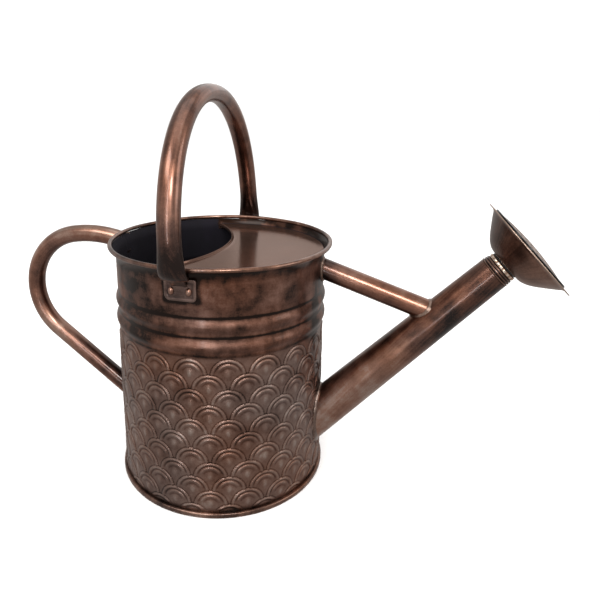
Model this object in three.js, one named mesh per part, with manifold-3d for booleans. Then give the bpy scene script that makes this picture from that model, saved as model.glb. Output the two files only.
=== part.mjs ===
// Metal watering can with a drum body, half-covered mouth, over-arm carrying hoop, rear handle,
// braced conical spout and a screw-on sprinkler rose.
// Millimetres, +Z up, +X towards the spout. The origin is on the drum's axis at the ground.
import * as THREE from 'three';
import { mergeVertices } from 'three/addons/utils/BufferGeometryUtils.js';
import Module from 'manifold-3d';

const wasm = await Module();
wasm.setup();

// ---- driving dimensions -------------------------------------------------------------------
const SHEET = 0.8;                // sheet metal thickness
const GAP = 0.3;                  // clearance left between pieces that touch
const SIDES = 48;                 // facets round the drum
const TUBE_SIDES = 12;            // facets round a handle tube
const TUBE_WALL = 1.0;            // wall of the handle and brace tubes
const FAR = 200;                  // how far a cutting solid reaches past what it cuts

const WALL_R = 82;                // outer radius of the drum
const RIM_R = 88;                 // outer radius of the rolled rim
const RIM_Z = 190.8;              // top of the rolled rim
const RIM_ROLL_R = 1.8;           // radius of the rolled rim's section
const FOOT_R = 84;                // outer radius of the foot seam
const FOOT_H = 4;                 // height of the foot seam
const BASE_Z = 2;                 // underside of the recessed base plate

const RIB_CENTRES = [147.5, 132.7];
const RIB_W = 12;                 // height of one raised rib on the wall
const RIB_H = 1.6;                // how far a rib stands out

const COVER_Z = 183;              // top face of the half cover
const MOUTH_R = 107;              // radius of the mouth's curved edge
const MOUTH_X = -103.3;           // centre of that curve
const LIP_H = 1.6;                // turned-up edge along the mouth
const SKIRT_H = 4;                // turned-down edge along the wall
const MOUTH_SIDES = 64;

const HOOP_X = -2.3;              // plane of the carrying hoop at its ends
const HOOP_LEAN = -0.043;         // how far it leans over for each millimetre of height
const HOOP_R = [8, 6.9];          // half width and half depth of its slightly flattened tube
const HOOP_HALF = 94.8;           // half the distance between its two legs
const HOOP_SPRING_Z = 197;        // height where the legs start to curve over
const HOOP_TOP_Z = 301.9;          // top of its centreline
const HOOP_POWER = 2.16;          // squareness of the arch: 2 is an ellipse
const HOOP_END_Z = 181.5;         // where its flattened ends stop
const HOOP_LEG = [[86.7, 178.5], [88.4, 181.6], [93.6, 188]];  // each leg tucks in under the rim

const PLATE_W = 23;               // riveted plate under each end of the hoop
const PLATE_Z = [165.8, 178.8];
const PLATE_T = 1.2;
const PLATE_X = -2;
const RIVET_SPACING = 12.4;
const RIVET_Z = 172.7;
const RIVET_R = 2.8;
const RIVET_SHANK = 1.5;
const RIVET_HEAD_H = 1.7;
const RIVET_SIDES = 10;

const GRIP_R = 7.2;               // radius of the rear handle's tube
const GRIP_BEND = { x: -123.9, z: 136.4, r: 49 };
const GRIP_TOP_BEND_R = 100;      // easier bend that leads back to the rim
const GRIP_JOIN = 100;            // angle in degrees where the two bends meet
const GRIP_FALL = 37;             // fall in degrees of its straight lower run
const GRIP_RUN = 96;              // length of that run, ending inside the drum before it is cut

const SPOUT_TILT = 46.3;          // rise of the spout in degrees
const SPOUT_Z = 49.2;             // where its axis leaves the wall
const SPOUT_L = 177;
const SPOUT_R = [15.8, 12.1];     // outer radius at the wall and at the tip
const ROSE_TILT = 42.8;           // the rose droops a little from the spout's line

const BRACE_R = 8;
const BRACE_Z = 170.8;            // where the brace leaves the wall
const BRACE_FALL = 18.5;          // fall of the brace in degrees
const BRACE_L = 86;

const BORE_R = 7.8;               // waterway through the nipple
const THREAD_R = 9.3;             // outside of the nipple's thread
const ROSE_HOLE_R = 1.2;
const HOLE_SIDES = 6;
const ROSE_HOLE_RINGS = [6, 12, 18];

// ---- materials ----------------------------------------------------------------------------
const paint = (color, roughness, metalness) => (
  new THREE.MeshStandardMaterial({ color, roughness, metalness })
);
const COPPER = paint(0x6e4a3d, 0.42, 0.8);
const DARK_COPPER = paint(0x4a3530, 0.5, 0.75);
const BRASS = paint(0xc9a67c, 0.3, 0.95);
const SOLDER = paint(0x8a7468, 0.4, 0.85);
const RUBBER = paint(0x1c1b1b, 0.8, 0);

// ---- helpers ------------------------------------------------------------------------------
const rad = THREE.MathUtils.degToRad;
const v2 = (r, z) => new THREE.Vector2(r, z);

// A ring or disc turned about Z from an outline of [radius, height] points.
function turned(outline, sides = SIDES) {
  const first = outline[0];
  const onAxis = first[0] === 0;
  const points = outline.map(([r, z]) => v2(r, z));
  if (!onAxis) points.push(v2(...first));
  return solid(new THREE.LatheGeometry(points, sides).rotateX(Math.PI / 2));
}

// A rod about Z from z0 to z1, with its own radius at each end.
function rod(z0, z1, r0, r1 = r0, sides = SIDES) {
  return turned([[0, z0], [r0, z0], [r1, z1], [0, z1]], sides);
}

// A three.js geometry as a closed solid, turned right side out if need be.
function solid(geometry) {
  geometry.deleteAttribute('normal');
  geometry.deleteAttribute('uv');
  const merged = mergeVertices(geometry, 1e-4);
  const made = build(merged, false);
  return made.volume() > 0 ? made : build(merged, true);
}

function build(geometry, flip) {
  const index = geometry.index.array;
  const corners = [];
  for (let i = 0; i < index.length; i += 3) {
    const [a, b, c] = [index[i], index[i + 1], index[i + 2]];
    if (a !== b && b !== c && c !== a) corners.push(a, flip ? c : b, flip ? b : c);
  }
  return new wasm.Manifold(new wasm.Mesh({
    numProp: 3,
    vertProperties: new Float32Array(geometry.attributes.position.array),
    triVerts: new Uint32Array(corners),
  }));
}

function toGeometry(manifold) {
  const { vertProperties, triVerts } = manifold.getMesh();
  const geometry = new THREE.BufferGeometry();
  geometry.setAttribute('position', new THREE.BufferAttribute(new Float32Array(vertProperties), 3));
  geometry.setIndex(new THREE.BufferAttribute(new Uint32Array(triVerts), 1));
  const flat = geometry.toNonIndexed();
  flat.computeVertexNormals();
  return flat;
}

// The largest body of a cut that leaves offcuts.
function largest(manifold) {
  return manifold.decompose().sort((a, b) => b.volume() - a.volume())[0];
}

const can = new THREE.Group();

function add(name, manifold, material, group = can) {
  const mesh = new THREE.Mesh(toGeometry(manifold), material);
  mesh.name = name;
  group.add(mesh);
}

// Turns a solid made about Z so that Z leans up from +X by the given rise, then moves it in XZ.
function leaned(manifold, rise, x, z) {
  return manifold.rotate([0, 90 - rise, 0]).translate([x, 0, z]);
}

// A tube along a curve, open at both ends, from its section's two half axes.
function tubeAlong(points, [rx, ry], steps) {
  const ring = new THREE.Shape().absellipse(0, 0, rx, ry, 0, 2 * Math.PI);
  const [holeX, holeY] = [rx - TUBE_WALL, ry - TUBE_WALL];
  ring.holes.push(new THREE.Path().absellipse(0, 0, holeX, holeY, 0, 2 * Math.PI, true));
  const extrudePath = new THREE.CatmullRomCurve3(points, false, 'centripetal');
  return new THREE.ExtrudeGeometry(ring, { steps, extrudePath, curveSegments: TUBE_SIDES / 2 });
}

// ---- drum ---------------------------------------------------------------------------------
const FLARE_Z = 179;              // where the wall starts to flare out to the rim
const WALL_TOP = RIM_Z - 2 * RIM_ROLL_R - 0.4;
const FLARE = 3.2;
const RIB_STEPS = 6;

function bulge(z) {
  const rib = RIB_CENTRES.find((centre) => Math.abs(z - centre) < RIB_W / 2);
  const ribOut = rib ? RIB_H * Math.cos(Math.PI * (z - rib) / RIB_W) ** 2 : 0;
  const flareOut = z > FLARE_Z ? FLARE * ((z - FLARE_Z) / (WALL_TOP - FLARE_Z)) ** 2 : 0;
  return ribOut + flareOut;
}

function wallHeights() {
  const heights = [FOOT_H + GAP];
  for (const centre of [...RIB_CENTRES].reverse()) {
    for (let i = 0; i <= RIB_STEPS; i++) heights.push(centre + RIB_W * (i / RIB_STEPS - 0.5));
  }
  for (let i = 0; i <= 4; i++) heights.push(FLARE_Z + (WALL_TOP - FLARE_Z) * i / 4);
  return heights;
}

// The space inside the drum's outer surface and rim, grown by a clearance.
function drumSpace(extra) {
  const side = outer.map(([r, z]) => [r + extra, z]);
  const foot = [[0, -FAR], [WALL_R + extra, -FAR]];
  const rim = [[RIM_R + extra, WALL_TOP], [RIM_R + extra, RIM_Z + FAR], [0, RIM_Z + FAR]];
  return turned([...foot, ...side, ...rim]);
}

// A thin saddle of solder round a tube where it meets the drum.
function saddle(fatTube, tubeEnvelope, thickness) {
  const nearDrum = drumSpace(GAP + thickness).subtract(drumOutside);
  return largest(fatTube.subtract(tubeEnvelope).intersect(nearDrum));
}

const outer = wallHeights().map((z) => [WALL_R + bulge(z), z]);
const drumOutside = drumSpace(GAP);
const inner = outer.map(([r, z]) => [r - SHEET, z]).reverse();
const SPOUT_HOLE_R = SPOUT_R[0] - SHEET;
const SPOUT_SIDES = 28;
const holeDrill = rod(-SPOUT_R[0] * 2.5, SPOUT_R[0] * 2.5, SPOUT_HOLE_R, SPOUT_HOLE_R, SPOUT_SIDES);
const spoutHole = leaned(holeDrill, SPOUT_TILT, WALL_R, SPOUT_Z);

const rivetPlaces = [
  ['right_front_rivet', -1, 1],
  ['right_rear_rivet', -1, -1],
  ['left_front_rivet', 1, 1],
  ['left_rear_rivet', 1, -1],
];

// Lies along the wall's outward normal at a rivet, with its own zero on the plate's face.
function atRivet(manifold, side, along) {
  const seat = WALL_R + GAP + PLATE_T;
  const away = THREE.MathUtils.radToDeg((PLATE_X + along * RIVET_SPACING / 2) / seat);
  const angle = side * (90 - away);
  const x = seat * Math.cos(rad(angle));
  const y = seat * Math.sin(rad(angle));
  return manifold.rotate([0, 90, 0]).rotate([0, 0, angle]).translate([x, y, RIVET_Z]);
}

const RIVET_REACH = 2 * (PLATE_T + SHEET + 2 * GAP);
const shankHoleR = RIVET_SHANK + GAP;
const shankDrill = rod(-RIVET_REACH, RIVET_REACH, shankHoleR, shankHoleR, RIVET_SIDES);
const shankHoles = rivetPlaces.map(([, side, along]) => atRivet(shankDrill, side, along));
let drum = turned([...outer, ...inner]).subtract(spoutHole);
for (const hole of shankHoles) drum = drum.subtract(hole);
add('body_shell', drum, COPPER);

const rollCentre = [RIM_R - RIM_ROLL_R, RIM_Z - RIM_ROLL_R];
const ROLL_STEPS = 10;
const roll = [];
for (let i = 0; i < ROLL_STEPS; i++) {
  const a = 2 * Math.PI * i / ROLL_STEPS;
  roll.push([rollCentre[0] + RIM_ROLL_R * Math.cos(a), rollCentre[1] + RIM_ROLL_R * Math.sin(a)]);
}
add('rim_roll', turned(roll), COPPER);

const FOOT_IN = WALL_R - SHEET - GAP;
const FOOT_ROUND = 1;             // chamfer on the foot seam's two outer edges
const footOutline = [
  [FOOT_IN, 0], [FOOT_R - FOOT_ROUND, 0], [FOOT_R, FOOT_ROUND],
  [FOOT_R, FOOT_H - FOOT_ROUND], [FOOT_R - FOOT_ROUND, FOOT_H], [FOOT_IN, FOOT_H],
];
add('foot_ring', turned(footOutline), DARK_COPPER);
add('base_plate', rod(BASE_Z, BASE_Z + SHEET, FOOT_IN - GAP), DARK_COPPER);

// ---- half cover ---------------------------------------------------------------------------
const insideWall = drumSpace(-SHEET - GAP);
const disc = rod(COVER_Z - SHEET, COVER_Z, RIM_R).intersect(insideWall);
const skirtBand = rod(COVER_Z - SKIRT_H, COVER_Z, RIM_R).intersect(insideWall);
const skirt = skirtBand.subtract(drumSpace(-2 * SHEET - GAP));
const mouthRod = (low, high, r) => rod(low, high, r, r, MOUTH_SIDES).translate([MOUTH_X, 0, 0]);
const mouth = mouthRod(COVER_Z - FAR, COVER_Z + FAR, MOUTH_R);
const lipR = WALL_R - SHEET - GAP;
const lip = mouthRod(COVER_Z - SHEET, COVER_Z + LIP_H, MOUTH_R + SHEET).intersect(rod(0, FAR, lipR));
add('top_cover', disc.add(skirt).add(lip).subtract(mouth), COPPER);

// ---- carrying hoop ------------------------------------------------------------------------
const ARCH_STEPS = 9;
function hoopPoints() {
  const rise = HOOP_TOP_Z - HOOP_SPRING_Z;
  const leg = [...HOOP_LEG, [HOOP_HALF, HOOP_SPRING_Z]];
  const half = leg.map(([y, z]) => new THREE.Vector3(0, y, z));
  for (let i = 1; i <= ARCH_STEPS; i++) {
    const a = Math.PI / 2 * i / ARCH_STEPS;
    const y = HOOP_HALF * Math.max(Math.cos(a), 0) ** (2 / HOOP_POWER);
    const z = HOOP_SPRING_Z + rise * Math.sin(a) ** (2 / HOOP_POWER);
    half.push(new THREE.Vector3(0, i === ARCH_STEPS ? 0 : y, z));
  }
  const mirrored = half.slice(0, -1).reverse().map((p) => new THREE.Vector3(0, -p.y, p.z));
  return [...half, ...mirrored];
}

// Presses the ends of the hoop, thinner across the wall and wider along it, then leans it over.
const PRESS_Z = 212;              // the pressing starts here and grows down to the end
const PRESS_THIN = 0.52;          // share of the depth lost at the end
const PRESS_WIDE = 0.21;          // share of the width gained there
const HOOP_STEPS = 48;
function pressEnds(geometry, points) {
  const leg = points.slice(0, HOOP_LEG.length + 4);
  const position = geometry.attributes.position;
  for (let i = 0; i < position.count; i++) {
    const z = position.getZ(i);
    const amount = THREE.MathUtils.smoothstep(PRESS_Z - z, 0, PRESS_Z - HOOP_END_Z);
    const side = Math.sign(position.getY(i));
    const above = Math.max(1, leg.findIndex((p) => p.z > z));
    const [p, q] = [leg[above - 1], leg[above]];
    const centre = THREE.MathUtils.mapLinear(z, p.z, q.z, p.y, q.y);
    const y = Math.abs(position.getY(i));
    const lean = HOOP_X + HOOP_LEAN * (z - HOOP_END_Z);
    position.setX(i, lean + position.getX(i) * (1 + PRESS_WIDE * amount));
    if (amount > 0) position.setY(i, side * (centre + (y - centre) * (1 - PRESS_THIN * amount)));
  }
  return geometry;
}

const hoopLine = hoopPoints();
const hoopTube = solid(pressEnds(tubeAlong(hoopLine, HOOP_R, HOOP_STEPS), hoopLine));
add('carry_handle', hoopTube.subtract(rod(0, HOOP_END_Z, FAR)), COPPER);

// A tongue on each plate cranks out past the rim and up inside the pressed end of the hoop.
const TONGUE_W = 11;
const TONGUE_SIDE = [
  [82.6, 176.5], [83.5, 176.5], [88.3, 181.2], [91.7, 186.6],
  [90.7, 187.2], [87.4, 182.2], [82.6, 177.8],
];
const tongueShape = new THREE.Shape(TONGUE_SIDE.map(([y, z]) => v2(y, z)));
const tongueOptions = { depth: TONGUE_W, steps: 1, bevelEnabled: false };
const tongueBar = new THREE.ExtrudeGeometry(tongueShape, tongueOptions);
tongueBar.rotateX(Math.PI / 2).rotateZ(Math.PI / 2);
const tongue = solid(tongueBar).translate([HOOP_X - TONGUE_W / 2, 0, 0]);

const plateSkin = rod(...PLATE_Z, WALL_R + GAP + PLATE_T).subtract(drumOutside);
for (const [name, side] of [['right_handle_plate', -1], ['left_handle_plate', 1]]) {
  const box = new THREE.BoxGeometry(PLATE_W, WALL_R, FAR);
  const block = solid(box).translate([PLATE_X, side * WALL_R, RIVET_Z]);
  let plate = plateSkin.intersect(block).add(side > 0 ? tongue : tongue.mirror([0, 1, 0]));
  for (const hole of shankHoles) plate = plate.subtract(hole);
  add(name, plate, DARK_COPPER);
}

// A domed head over the plate, a shank through both sheets and a flat head inside the drum.
const SHOP_HEAD_Z = -(PLATE_T + SHEET + 2 * GAP);
const SHOP_HEAD_R = 2.2;
const SHOP_HEAD_H = 1;
const rivetOutline = [
  [0, SHOP_HEAD_Z - SHOP_HEAD_H], [SHOP_HEAD_R, SHOP_HEAD_Z - SHOP_HEAD_H],
  [SHOP_HEAD_R, SHOP_HEAD_Z], [RIVET_SHANK, SHOP_HEAD_Z], [RIVET_SHANK, GAP], [RIVET_R, GAP],
  [RIVET_R * 0.85, GAP + RIVET_HEAD_H * 0.55], [RIVET_R * 0.45, GAP + RIVET_HEAD_H * 0.92],
  [0, GAP + RIVET_HEAD_H],
];
for (const [name, side, along] of rivetPlaces) {
  add(name, atRivet(turned(rivetOutline, RIVET_SIDES), side, along), COPPER);
}

// ---- rear handle --------------------------------------------------------------------------
const GRIP_START = 66;            // angle in degrees where the top bend starts, inside the drum
const GRIP_TOP_STEP = 8;          // degrees between points of the top bend
const BEND_STEPS = 12;
const GRIP_STEPS = 32;

function polar(centre, r, deg) {
  return new THREE.Vector3(centre.x + r * Math.cos(rad(deg)), 0, centre.z + r * Math.sin(rad(deg)));
}

function gripPoints() {
  const onBend = (deg) => polar(GRIP_BEND, GRIP_BEND.r, deg);
  const topCentre = polar(GRIP_BEND, GRIP_BEND.r - GRIP_TOP_BEND_R, GRIP_JOIN);
  const points = [];
  for (let deg = GRIP_START; deg < GRIP_JOIN; deg += GRIP_TOP_STEP) {
    points.push(polar(topCentre, GRIP_TOP_BEND_R, deg));
  }
  const lastDeg = 270 - GRIP_FALL;
  for (let i = 0; i <= BEND_STEPS; i++) {
    points.push(onBend(GRIP_JOIN + (lastDeg - GRIP_JOIN) * i / BEND_STEPS));
  }
  const run = new THREE.Vector3(Math.cos(rad(GRIP_FALL)), 0, -Math.sin(rad(GRIP_FALL)));
  for (const part of [0.5, 1]) points.push(onBend(lastDeg).addScaledVector(run, GRIP_RUN * part));
  return points;
}

const gripLine = gripPoints();
const gripTube = solid(tubeAlong(gripLine, [GRIP_R, GRIP_R], GRIP_STEPS));
add('rear_handle', gripTube.subtract(drumOutside), COPPER);

// Solid rods that follow each end of the rear handle, for the solder saddles.
function endRod(from, to, r) {
  const path = new THREE.LineCurve3(from, to);
  const section = new THREE.Shape().absarc(0, 0, r, 0, 2 * Math.PI);
  const options = { steps: 1, extrudePath: path, curveSegments: TUBE_SIDES / 2 };
  return solid(new THREE.ExtrudeGeometry(section, options));
}

const SADDLE_W = 2.2;             // how far solder spreads out round a tube
const SADDLE_T = 1.6;             // and how far it stands off the drum
const gripCurve = new THREE.CatmullRomCurve3(gripLine, false, 'centripetal');
const GRIP_ENDS = [['rear_handle_upper_solder', 0, 0.085], ['rear_handle_lower_solder', 0.99, 0.85]];
for (const [name, a, b] of GRIP_ENDS) {
  const [from, to] = [gripCurve.getPointAt(a), gripCurve.getPointAt(b)];
  const fat = endRod(from, to, GRIP_R + SADDLE_W);
  add(name, saddle(fat, endRod(from, to, GRIP_R + 2 * GAP), SADDLE_T), SOLDER);
}

// ---- spout --------------------------------------------------------------------------------
const tiltX = Math.cos(rad(SPOUT_TILT));
const tiltZ = Math.sin(rad(SPOUT_TILT));
const taper = (SPOUT_R[1] - SPOUT_R[0]) / SPOUT_L;
const START = -34;                // the cone starts inside the drum and is then cut to the wall
const spoutRadius = (s) => SPOUT_R[0] + taper * s;

function spoutCone(from, to, extra) {
  const cone = rod(from, to, spoutRadius(from) + extra, spoutRadius(to) + extra, SPOUT_SIDES);
  return leaned(cone, SPOUT_TILT, WALL_R, SPOUT_Z);
}

const ROSE_R = 40.2;              // outer radius of the flat rim round the rose
const tip = { x: WALL_R + SPOUT_L * tiltX, z: SPOUT_Z + SPOUT_L * tiltZ };
const roseSpace = leaned(rod(-GAP, ROSE_R, ROSE_R), ROSE_TILT, tip.x, tip.z);
const spoutSkin = spoutCone(START, SPOUT_L + 3, 0).subtract(spoutCone(START - 1, SPOUT_L + 4, -SHEET));
add('spout', spoutSkin.subtract(drumOutside).subtract(roseSpace), COPPER);

const SPOUT_SADDLE_TO = 40;       // the solder stays on this much of the spout
const spoutFat = spoutCone(START, SPOUT_SADDLE_TO, SADDLE_W);
const spoutSpace = spoutCone(START - 1, SPOUT_SADDLE_TO + 1, GAP);
add('spout_base_solder', saddle(spoutFat, spoutSpace, SADDLE_T), SOLDER);

// ---- brace between the drum and the spout ---------------------------------------------------
const BRACE_SIDES = 20;
const BRACE_FROM = -12;           // starts inside the drum and is then cut to the wall
const BRACE_MID = 35;
function braceRod(from, to, r) {
  return leaned(rod(from, to, r, r, BRACE_SIDES), -BRACE_FALL, WALL_R, BRACE_Z);
}

const spoutOutside = spoutCone(0, SPOUT_L, GAP);
const braceBore = braceRod(BRACE_FROM - 1, BRACE_L + 1, BRACE_R - TUBE_WALL);
const braceTube = braceRod(BRACE_FROM, BRACE_L, BRACE_R).subtract(braceBore);
add('spout_brace', largest(braceTube.subtract(drumOutside).subtract(spoutOutside)), COPPER);

const braceSpace = braceRod(BRACE_FROM - 1, BRACE_L + 1, BRACE_R + GAP);
const fatStart = braceRod(BRACE_FROM, BRACE_MID, BRACE_R + SADDLE_W);
const fatEnd = braceRod(BRACE_MID, BRACE_L, BRACE_R + SADDLE_W);
add('brace_drum_solder', saddle(fatStart, braceSpace, SADDLE_T), SOLDER);
const nearSpout = spoutCone(0, SPOUT_L, GAP + SADDLE_T).subtract(spoutOutside);
add('brace_spout_solder', largest(fatEnd.subtract(braceSpace).intersect(nearSpout)), SOLDER);

// ---- collar, nipple and rose, all on one axis at the spout's tip ----------------------------
const head = new THREE.Group();
head.position.set(tip.x, 0, tip.z);
head.rotation.y = rad(90 - ROSE_TILT);
can.add(head);

const HEAD_SIDES = 32;
const COLLAR_L = 5.2;
const collar = [
  [BORE_R + GAP, 0], [11.6, 0], [12.2, 0.8], [11.4, 1.7], [12, 2.5],
  [11.2, 3.4], [11.8, 4.2], [11, COLLAR_L], [BORE_R + GAP, COLLAR_L],
];
add('spout_collar', turned(collar, HEAD_SIDES), DARK_COPPER, head);

const FLANGE = [COLLAR_L + GAP, COLLAR_L + 3];
const THREAD_END = 16.8;
const FLANGE_R = 11.4;
const nipple = [
  [BORE_R, FLANGE[0]], [FLANGE_R, FLANGE[0]], [FLANGE_R, FLANGE[1]], [THREAD_R, FLANGE[1]],
  [THREAD_R, THREAD_END], [BORE_R, THREAD_END],
];
add('spout_nipple', turned(nipple, HEAD_SIDES), BRASS, head);

// A ring of rectangular section between two radii and two heights.
function band([r0, r1], [z0, z1]) {
  return turned([[r0, z0], [r1, z0], [r1, z1], [r0, z1]], HEAD_SIDES);
}

const WASHER = [FLANGE[1] + GAP, FLANGE[1] + GAP + 0.9];
const NECK = [THREAD_R + 0.4, 11];
const NECK_Z = [WASHER[1] + GAP, THREAD_END + 0.4];
add('rose_washer', band([NECK[0], NECK[1] - 0.3], WASHER), RUBBER, head);
add('rose_neck', band(NECK, NECK_Z), BRASS, head);

const BOWL_LINE = [
  [15.5, NECK_Z[0] + 0.2], [19.5, NECK_Z[0] + 2.3], [27, 18.8], [33.2, 25.3], [35.2, 27.6],
];
const BOWL_EYE = NECK[1] + GAP;
const RIM_T = 28;                 // back of the flat rim
const bowlInside = [...BOWL_LINE].reverse().map(([r, z]) => [r - 0.7, z + 0.7]);
const bowlOutline = [
  [BOWL_EYE, NECK_Z[0]], ...BOWL_LINE, [ROSE_R, RIM_T], [ROSE_R, RIM_T + SHEET],
  [bowlInside[0][0] + GAP, RIM_T + SHEET], ...bowlInside, [BOWL_EYE, NECK_Z[0] + 1],
];
add('rose_bowl', turned(bowlOutline, HEAD_SIDES), DARK_COPPER, head);

// Face with rings of holes, seated inside the bowl's rim: a step round the edge, then a dome.
const FACE_R = 34.1;
const FACE_Z = RIM_T + GAP;
const FACE_STEP = 1.9;
const DOME_R = 28;
const DOME_H = 2;
const DOME_STEPS = 4;
const HOLES_OUT = 0.88;           // the outer ring of holes, as a share of the dome's radius
function domeLine(steps, base) {
  const line = [];
  for (let i = 0; i <= steps; i++) {
    const r = DOME_R * i / steps;
    line.push([r, base + DOME_H * (1 - (r / DOME_R) ** 2)]);
  }
  return line;
}
const STEP_Z = FACE_Z + FACE_STEP;
const faceOutline = [
  ...domeLine(DOME_STEPS, STEP_Z - SHEET), [FACE_R - SHEET, STEP_Z - SHEET], [FACE_R - SHEET, FACE_Z],
  [FACE_R, FACE_Z], [FACE_R, STEP_Z], ...domeLine(DOME_STEPS, STEP_Z).reverse(),
];
let face = turned(faceOutline, HEAD_SIDES);
const holes = [[0, 0]];
ROSE_HOLE_RINGS.forEach((count, ring) => {
  const ringR = DOME_R * HOLES_OUT * (ring + 1) / ROSE_HOLE_RINGS.length;
  for (let i = 0; i < count; i++) {
    const a = 2 * Math.PI * i / count;
    holes.push([ringR * Math.cos(a), ringR * Math.sin(a)]);
  }
});
const drill = rod(RIM_T - FAR, RIM_T + FAR, ROSE_HOLE_R, ROSE_HOLE_R, HOLE_SIDES);
for (const [x, y] of holes) face = face.subtract(drill.translate([x, y, 0]));
add('rose_face', face, COPPER, head);

export default can;
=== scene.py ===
"""Looks of a copper-finished watering can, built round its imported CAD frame.

Shapes are worked out in millimetres in the CAD frame (+X towards the spout, +Z up), and
Surface.piece turns them into metres. The floor and the lights are placed in metres.
"""

import math

import bmesh
import bpy
import numpy as np
from mathutils import Matrix, Vector, geometry


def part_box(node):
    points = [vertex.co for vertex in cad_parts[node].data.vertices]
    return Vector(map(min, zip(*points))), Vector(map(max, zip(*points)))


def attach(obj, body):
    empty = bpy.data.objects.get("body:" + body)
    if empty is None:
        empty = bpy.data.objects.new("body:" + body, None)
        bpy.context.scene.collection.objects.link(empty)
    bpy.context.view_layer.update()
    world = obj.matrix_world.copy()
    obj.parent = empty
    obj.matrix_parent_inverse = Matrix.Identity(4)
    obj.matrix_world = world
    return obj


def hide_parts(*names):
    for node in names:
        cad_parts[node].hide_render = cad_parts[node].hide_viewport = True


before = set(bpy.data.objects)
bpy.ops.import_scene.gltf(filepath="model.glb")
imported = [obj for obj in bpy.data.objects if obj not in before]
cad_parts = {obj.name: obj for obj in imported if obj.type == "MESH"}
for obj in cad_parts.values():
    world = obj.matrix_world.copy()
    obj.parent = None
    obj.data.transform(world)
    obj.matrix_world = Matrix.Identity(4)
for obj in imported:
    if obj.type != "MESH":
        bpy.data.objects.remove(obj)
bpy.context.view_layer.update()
scene = bpy.context.scene

MM = 0.001
TURN = 2 * math.pi


def box_mm(node):
    return [np.array(corner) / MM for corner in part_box(node)]


# ---- driving dimensions, from the frame where it has them ----
SHEET = 0.8
RIM_LOW, RIM_HIGH = box_mm("rim_roll")
RIM_R, RIM_Z = RIM_HIGH[0], RIM_HIGH[2]
RIM_ROLL_R = (RIM_HIGH[2] - RIM_LOW[2]) / 2
FOOT_R, FOOT_H = box_mm("foot_ring")[1][[0, 2]]
WALL_R = 82.0
WALL_FOOT = box_mm("body_shell")[0][2]
WALL_TOP = box_mm("body_shell")[1][2]
WALL_END = RIM_Z - 3.4
COVER_TOP = box_mm("top_cover")[1][2]
LIP_H = 1.6
COVER_Z = COVER_TOP - LIP_H
MOUTH_R, MOUTH_X = 107.0, -103.3

RIB_CENTRES, RIB_W, RIB_H = (147.5, 132.7), 12.0, 1.6
FLARE, FLARE_Z, FLARE_MOST = 3.2, 179.0, 1.15

SCALES_ROUND = 19
SCALE_ROWS = 11
SCALE_TOP = 124.3
SCALES_END = SCALE_TOP + 1.5
SCALE_ROW_H = 11.4
SCALE_START = math.radians(-88.2)
SCALE_PITCH = TURN * WALL_R / SCALES_ROUND
ARCH_R, RIDGE_R, INNER_R = 12.4, 11.1, 7.9
SCALE_SINK = 0.4

HOOP_X, HOOP_LEAN, HOOP_HALF = -2.3, -0.043, 94.8
HOOP_WIDE, HOOP_DEEP = 8.0, 6.9
HOOP_SPRING_Z, HOOP_TOP_Z, HOOP_END_Z, HOOP_POWER = 197.0, 301.9, 181.5, 2.16
HOOP_LEG = ((86.7, 178.5), (88.4, 181.6), (93.6, 188.0))
PRESS_Z, PRESS_THIN, PRESS_WIDE = 212.0, 0.52, 0.26

PLATE_X, PLATE_W, PLATE_LOW, PLATE_HIGH = -2.0, 23.0, 165.8, 181.4
PLATE_Z, PLATE_H = (PLATE_LOW + PLATE_HIGH) / 2, PLATE_HIGH - PLATE_LOW
HOOP_CUT_Z = HOOP_END_Z + 1.6
RIVET_SPACING, RIVET_Z = 12.4, 172.7

GRIP_R, GRIP_BEND_R, GRIP_TOP_BEND_R = 7.2, 49.0, 100.0
GRIP_BEND = np.array([-123.9, 0.0, 136.4])
GRIP_START, GRIP_JOIN, GRIP_FALL, GRIP_RUN = 66.0, 100.0, 37.0, 96.0

SPOUT_TILT, SPOUT_Z, SPOUT_L, SPOUT_R = math.radians(46.3), 49.2, 177.0, (15.8, 12.1)
SPOUT_ROOT, SPOUT_SPARE = 40.0, 6.0
ROSE_TILT = math.radians(42.8)
BRACE_R, BRACE_Z, BRACE_FALL, BRACE_L = 8.0, 170.8, math.radians(18.5), 86.0
BRACE_ROOT = 12.0
SKIN_OVERLAP = 0.4


# ---- meshes ----
def smoothstep(x):
    x = np.clip(x, 0, 1)
    return x * x * (3 - 2 * x)


def bump(distance, half_width):
    """A rounded ridge, 1 at its crest and 0 from half_width outwards."""
    return np.cos(np.clip(distance / half_width, -1, 1) * math.pi / 2) ** 2


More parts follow.
